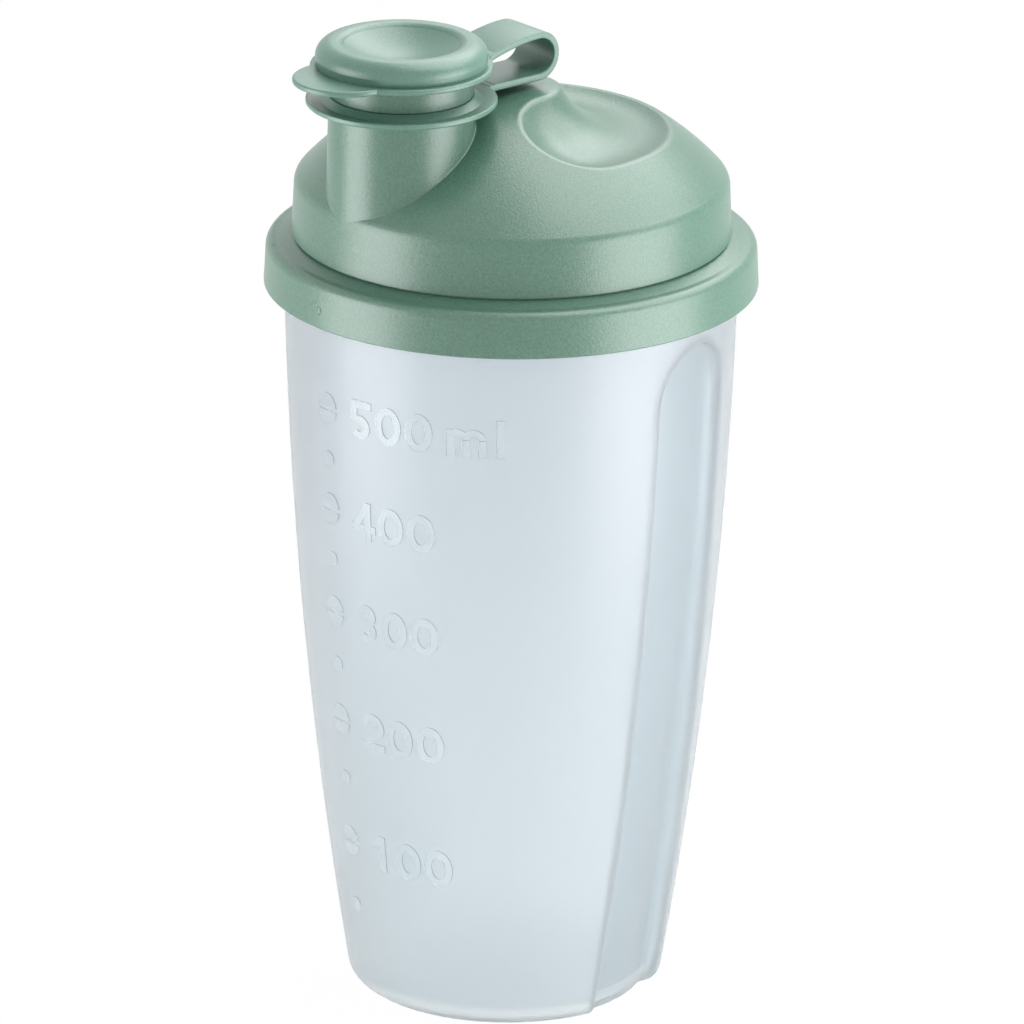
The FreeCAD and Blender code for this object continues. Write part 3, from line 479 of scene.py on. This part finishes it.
class SHAKER_OT_lid(bpy.types.Operator):
    """Grained lid, with the hollow rounding where the spout grows out of the dome"""
    bl_idname = "shaker.lid"
    bl_label = "Lid"

    def execute(self, context):
        sizes = context.scene.shaker_sizes
        green = lid_green(context.scene.shaker_finish)
        dress(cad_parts["lid"], green)
        verts = []
        for i in range(BLEND_SECTIONS + 1):
            turn = BLEND_START + (2.0 * math.pi - 2.0 * BLEND_START) * i / BLEND_SECTIONS
            verts += blend_row(sizes, turn)
        piece = new_piece("spout_blend", verts, tube_faces(BLEND_SECTIONS, BLEND_STEPS + 2), green)
        sharpen(piece.data)
        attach(piece, "closure")
        return {"FINISHED"}


class SHAKER_OT_stopper(bpy.types.Operator):
    """Satin finish of the retaining ring and the stopper cap"""
    bl_idname = "shaker.stopper"
    bl_label = "Ring and cap"

    def execute(self, context):
        satin = stopper_green(context.scene.shaker_finish)
        dress(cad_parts["retaining_ring"], satin)
        dress(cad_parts["stopper_cap"], satin)
        return {"FINISHED"}


class StrapLine:
    # Middle line of the strap in the plane x = 0: lower leg, half a turn, upper leg on a wide arc.
    def __init__(self, sizes):
        half = sizes.strap_thick / 2.0
        self.low = STRAP_LOW.z + half
        self.high = STRAP_HIGH.z - half
        self.loop = (self.high - self.low) / 2.0
        self.middle = self.low + self.loop
        self.far = STRAP_HIGH.y - half - self.loop
        self.reach = self.far - STRAP_LOW.y
        self.sweep = (self.reach ** 2 + sizes.strap_drop ** 2) / (2.0 * sizes.strap_drop)
        self.tail_side = self.high - half - sizes.strap_skin - TAIL_CUT ** 2 / (2.0 * self.sweep)

    def stops(self, sizes):
        # Points of the path, each with the handles before and after it.
        far, low, high = self.far, self.low, self.high
        bow = self.loop * QUARTER_HANDLE
        pull = self.reach * LEG_HANDLE
        slope = math.asin(self.reach / self.sweep)
        fall = Vector((0.0, -math.cos(slope), -math.sin(slope)))
        end = Vector((0.0, STRAP_LOW.y, high - sizes.strap_drop)) + fall * sizes.strap_tuck
        root = Vector((0.0, RING_HIGH.y - sizes.strap_tuck / 2.0, low))
        start = root - Vector((0.0, ROOT_BEHIND, ROOT_DIVE * sizes.strap_skin))
        ease = Vector((0.0, ROOT_HANDLE, 0.0))
        turn = Vector((0.0, far, low))
        tip = Vector((0.0, far + self.loop, self.middle))
        crest = Vector((0.0, far, high))
        out = Vector((0.0, bow, 0.0))
        up = Vector((0.0, 0.0, bow))
        return [
            (start, start, start + ease),
            (root, root - ease, root + ease),
            (turn, turn - Vector((0.0, LOOP_HANDLE, 0.0)), turn + out),
            (tip, tip - up, tip + up),
            (crest, crest + out, crest - Vector((0.0, pull, 0.0))),
            (end, end - fall * pull, end),
        ]

    def on_loop(self, spot):
        return spot.y > self.far - TAIL_CUT

    def on_tail(self, spot):
        # Past the loop on the upper leg, which stays as it is with the cap.
        over = math.atan2(self.far - spot.y, spot.z - self.high + self.sweep)
        return spot.z > self.middle and over * self.sweep > TAIL_CUT


def strap_tree():
    # Band drawn along a path: rounded section, closed ends, smooth faces.
    tree = bpy.data.node_groups.new("strap_band", "GeometryNodeTree")
    face = tree.interface
    face.new_socket("Geometry", in_out="INPUT", socket_type="NodeSocketGeometry")
    for name in ("Width", "Thickness", "Edge"):
        face.new_socket(name, in_out="INPUT", socket_type="NodeSocketFloat")
    face.new_socket("Sections", in_out="INPUT", socket_type="NodeSocketInt")
    face.new_socket("Finish", in_out="INPUT", socket_type="NodeSocketMaterial")
    face.new_socket("Geometry", in_out="OUTPUT", socket_type="NodeSocketGeometry")
    given = add(tree, "NodeGroupInput").outputs
    path = add(tree, "GeometryNodeResampleCurve", {"Curve": given["Geometry"], "Count": given["Sections"]})
    plate = add(tree, "GeometryNodeCurvePrimitiveQuadrilateral",
                {"Width": given["Width"], "Height": given["Thickness"]})
    soft = add(tree, "GeometryNodeFilletCurve", {"Curve": plate.outputs[0], "Radius": given["Edge"],
                                                 "Count": STRAP_EDGE_STEPS}, mode="POLY")
    band = add(tree, "GeometryNodeCurveToMesh", {"Curve": path.outputs[0], "Profile Curve": soft.outputs[0],
                                                 "Fill Caps": True})
    smooth = add(tree, "GeometryNodeSetShadeSmooth", {"Geometry": band.outputs[0]})
    worn = add(tree, "GeometryNodeSetMaterial", {"Geometry": smooth.outputs[0], "Material": given["Finish"]})
    real = add(tree, "GeometryNodeRealizeInstances", {"Geometry": worn.outputs[0]})
    add(tree, "NodeGroupOutput", {"Geometry": real.outputs[0]})
    return tree


def draw_path(stops):
    # Bezier path through the stops, with their handles.
    curve = bpy.data.curves.new("strap_path", "CURVE")
    curve.dimensions = "3D"
    curve.resolution_u = STRAP_PATH_STEPS
    spline = curve.splines.new("BEZIER")
    spline.bezier_points.add(len(stops) - 1)
    for point, (place, before, after) in zip(spline.bezier_points, stops):
        point.handle_left_type = "FREE"
        point.handle_right_type = "FREE"
        point.co = place
        point.handle_left = before
        point.handle_right = after
    route = bpy.data.objects.new("strap_path", curve)
    bpy.context.scene.collection.objects.link(route)
    return route


def draw_band(context, stops, values):
    # Mesh of the band along the path, by the node tree and its values.
    route = draw_path(stops)
    modifier = route.modifiers.new("band", "NODES")
    modifier.node_group = strap_tree()
    for item in modifier.node_group.interface.items_tree:
        if item.in_out == "INPUT" and item.name in values:
            modifier[item.identifier] = values[item.name]
    ready = route.evaluated_get(context.evaluated_depsgraph_get())
    mesh = bpy.data.meshes.new_from_object(ready)
    bpy.data.objects.remove(route)
    if len(mesh.polygons) < STRAP_LEAST_FACES:
        raise RuntimeError("the strap has no faces")
    return mesh


def nest_loop(mesh, line, nest):
    # The loop's middle is a hair slimmer and narrower, so that its folds lie in one another when the cap
    # is open.
    for vert in mesh.vertices:
        run = vert.co.y - line.far
        rise = vert.co.z - line.middle
        if run < 0.0:
            continue
        turn = math.degrees(math.atan2(rise, run))
        share = (ramp(turn, *NEST_IN) - 0.5 * ramp(turn, *NEST_HALF)) * (1.0 - ramp(turn, *NEST_OUT))
        old = math.hypot(run, rise)
        new = line.loop + (old - line.loop) * (1.0 - nest * share)
        vert.co.y = line.far + run * new / old
        vert.co.z = line.middle + rise * new / old
        vert.co.x *= 1.0 - NEST_WIDTH * nest * share


def wall_band(mesh, keep):
    # Cross walls inside the band, so that a fold of the loop shows solid ends.
    size = len(mesh.vertices) // STRAP_SECTIONS
    spots = [vert.co.copy() for vert in mesh.vertices]
    work = bmesh.new()
    work.from_mesh(mesh)
    for k in range(1, STRAP_SECTIONS - 1):
        ring = spots[k * size:(k + 1) * size]
        if keep(ring[0]):
            work.faces.new([work.verts.new(spot) for spot in ring])
    work.to_mesh(mesh)
    work.free()


def part_band(mesh, keep):
    # The faces of the band whose centres pass the test, as a mesh of their own.
    work = bmesh.new()
    work.from_mesh(mesh)
    drop = [face for face in work.faces if not keep(face.calc_center_median())]
    bmesh.ops.delete(work, geom=drop, context="FACES")
    made = bpy.data.meshes.new("band")
    work.to_mesh(made)
    work.free()
    for material in mesh.materials:
        made.materials.append(material)
    return made


class SHAKER_OT_strap(bpy.types.Operator):
    """Soft strap between the ring and the cap, its tail hung on the stopper's body"""
    bl_idname = "shaker.strap"
    bl_label = "Strap"

    def execute(self, context):
        sizes = context.scene.shaker_sizes
        line = StrapLine(sizes)
        mesh = draw_band(context, line.stops(sizes), {
            "Width": STRAP_HIGH.x - STRAP_LOW.x + 2.0 * sizes.strap_skin,
            "Thickness": sizes.strap_thick + 2.0 * sizes.strap_skin,
            "Edge": sizes.strap_edge, "Sections": STRAP_SECTIONS,
            "Finish": stopper_green(context.scene.shaker_finish)})
        nest_loop(mesh, line, sizes.strap_nest)
        wall_band(mesh, line.on_loop)
        strap = bpy.data.objects.new("soft_strap", part_band(mesh, lambda spot: not line.on_tail(spot)))
        tail = bpy.data.objects.new("strap_tail", part_band(mesh, line.on_tail))
        for face in strap.data.polygons:
            face.use_smooth = face.center.y < line.far
        for piece in (strap, tail):
            context.scene.collection.objects.link(piece)
        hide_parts("stopper_strap")
        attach(tail, "stopper")
        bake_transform(strap)
        return {"FINISHED"}


class SHAKER_OT_inside(bpy.types.Operator):
    """Sealing ring and mixing sieve"""
    bl_idname = "shaker.inside"
    bl_label = "Seal and sieve"

    def execute(self, context):
        finish = context.scene.shaker_finish
        dress(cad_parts["lid_seal"],
              moulded("silicone_seal_matt", finish.seal, finish.soft_grain,
                      depth=0.1, rough=0.55, spread=0.03, mottle=0.01))
        dress(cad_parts["mixing_sieve"],
              moulded("polypropylene_sieve_satin", finish.sieve, finish.soft_grain,
                      depth=0.2, rough=0.4, spread=0.04, mottle=0.01))
        return {"FINISHED"}


def backdrop_rays(tree):
    # 1 for the rays that see the backdrop itself, 0 for those that carry its light.
    ray = add(tree, "ShaderNodeLightPath").outputs
    clear = calc(tree, "MAXIMUM", ray["Is Camera Ray"], ray["Is Transmission Ray"])
    return calc(tree, "MAXIMUM", clear, ray["Is Glossy Ray"])


def lay_floor(studio):
    # Paper that is lit like paper and looks white where it is seen.
    made, tree = new_material("paper_floor")
    paper = add(tree, "ShaderNodeBsdfDiffuse", {"Color": PAPER_GREY})
    white = add(tree, "ShaderNodeEmission", {"Color": WHITE, "Strength": 1.0})
    share = calc(tree, "MULTIPLY", backdrop_rays(tree), studio.paper)
    mixed = add(tree, "ShaderNodeMixShader", {0: share, 1: paper.outputs[0], 2: white.outputs[0]})
    add(tree, "ShaderNodeOutputMaterial", {"Surface": mixed.outputs[0]})
    corners = [(x * FLOOR_HALF, y * FLOOR_HALF, FLOOR_Z) for x, y in ((-1, -1), (1, -1), (1, 1), (-1, 1))]
    floor = new_piece("studio_floor", corners, [(0, 1, 2, 3)], made)


def fill_air(scene, studio):
    # White air to the eye, with a weaker light from all round.
    world = bpy.data.worlds.new("studio_air")
    scene.world = world
    world.use_nodes = True
    tree = world.node_tree
    tree.nodes.clear()
    level = span(tree, backdrop_rays(tree), {"To Min": studio.fill})
    air = add(tree, "ShaderNodeBackground", {"Color": WHITE, "Strength": level})
    add(tree, "ShaderNodeOutputWorld", {"Surface": air.outputs[0]})


def hang_boxes(scene, studio):
    for name, power, turn, tilt, away, above, wide, high in BOXES:
        lamp = bpy.data.lights.new(name, "AREA")
        lamp.shape = "RECTANGLE"
        lamp.size = wide
        lamp.size_y = high
        lamp.energy = getattr(studio, power)
        azimuth = studio.azimuth + math.radians(turn)
        obj = bpy.data.objects.new(name, lamp)
        obj.location = (math.sin(azimuth) * away, -math.cos(azimuth) * away, above)
        obj.visible_camera = False
        obj.rotation_euler = (-towards(azimuth, math.radians(tilt))).to_track_quat("-Z", "Y").to_euler()
        scene.collection.objects.link(obj)


def set_camera(scene, studio):
    lens = bpy.data.cameras.new("photo_camera")
    lens.lens = studio.lens
    lens.sensor_width = SENSOR_WIDTH
    lens.clip_start = CLIP_NEAR
    lens.clip_end = CLIP_FAR
    camera = bpy.data.objects.new("photo_camera", lens)
    back = towards(studio.azimuth, studio.elevation)
    turned = (-back).to_track_quat("-Z", "Y").to_matrix().to_4x4()
    tilt = Matrix.Rotation(-studio.pan, 4, "Y") @ Matrix.Rotation(-studio.drop, 4, "X")
    place = Matrix.Translation(Vector((0.0, 0.0, studio.aim)) + back * studio.distance)
    camera.matrix_world = place @ turned @ Matrix.Rotation(studio.roll, 4, "Z") @ tilt
    scene.collection.objects.link(camera)
    scene.camera = camera


class SHAKER_OT_studio(bpy.types.Operator):
    """Pale floor, soft lights and the camera"""
    bl_idname = "shaker.studio"
    bl_label = "Studio"

    def execute(self, context):
        scene = context.scene
        studio = scene.shaker_studio
        scene.view_settings.view_transform = "Standard"
        lay_floor(studio)
        fill_air(scene, studio)
        hang_boxes(scene, studio)
        set_camera(scene, studio)
        return {"FINISHED"}


STEPS = (SHAKER_OT_studio, SHAKER_OT_beaker, SHAKER_OT_lid, SHAKER_OT_stopper, SHAKER_OT_strap,
         SHAKER_OT_inside)
GROUPS = {"shaker_sizes": ShakerSizes, "shaker_finish": ShakerFinish, "shaker_studio": ShakerStudio}


class VIEW3D_PT_shaker(bpy.types.Panel):
    """Sizes, finishes and steps of the dressing shaker"""
    bl_idname = "VIEW3D_PT_shaker"
    bl_label = "Dressing shaker"
    bl_space_type = "VIEW_3D"
    bl_region_type = "UI"
    bl_category = "Shaker"

    def draw(self, context):
        for group in GROUPS:
            box = self.layout.box()
            for name in getattr(context.scene, group).__annotations__:
                box.prop(getattr(context.scene, group), name)
        for step in STEPS:
            self.layout.operator(step.bl_idname)


def register():
    for name, group in GROUPS.items():
        bpy.utils.register_class(group)
        setattr(bpy.types.Scene, name, bpy.props.PointerProperty(type=group))
    for step in STEPS:
        bpy.utils.register_class(step)
    bpy.utils.register_class(VIEW3D_PT_shaker)


def unregister():
    bpy.utils.unregister_class(VIEW3D_PT_shaker)
    for step in reversed(STEPS):
        bpy.utils.unregister_class(step)
    for name, group in GROUPS.items():
        delattr(bpy.types.Scene, name)
        bpy.utils.unregister_class(group)


def main():
    register()
    bpy.ops.shaker.studio()
    bpy.ops.shaker.beaker()
    bpy.ops.shaker.lid()
    bpy.ops.shaker.stopper()
    bpy.ops.shaker.strap()
    bpy.ops.shaker.inside()


if __name__ == "__main__":
    main()
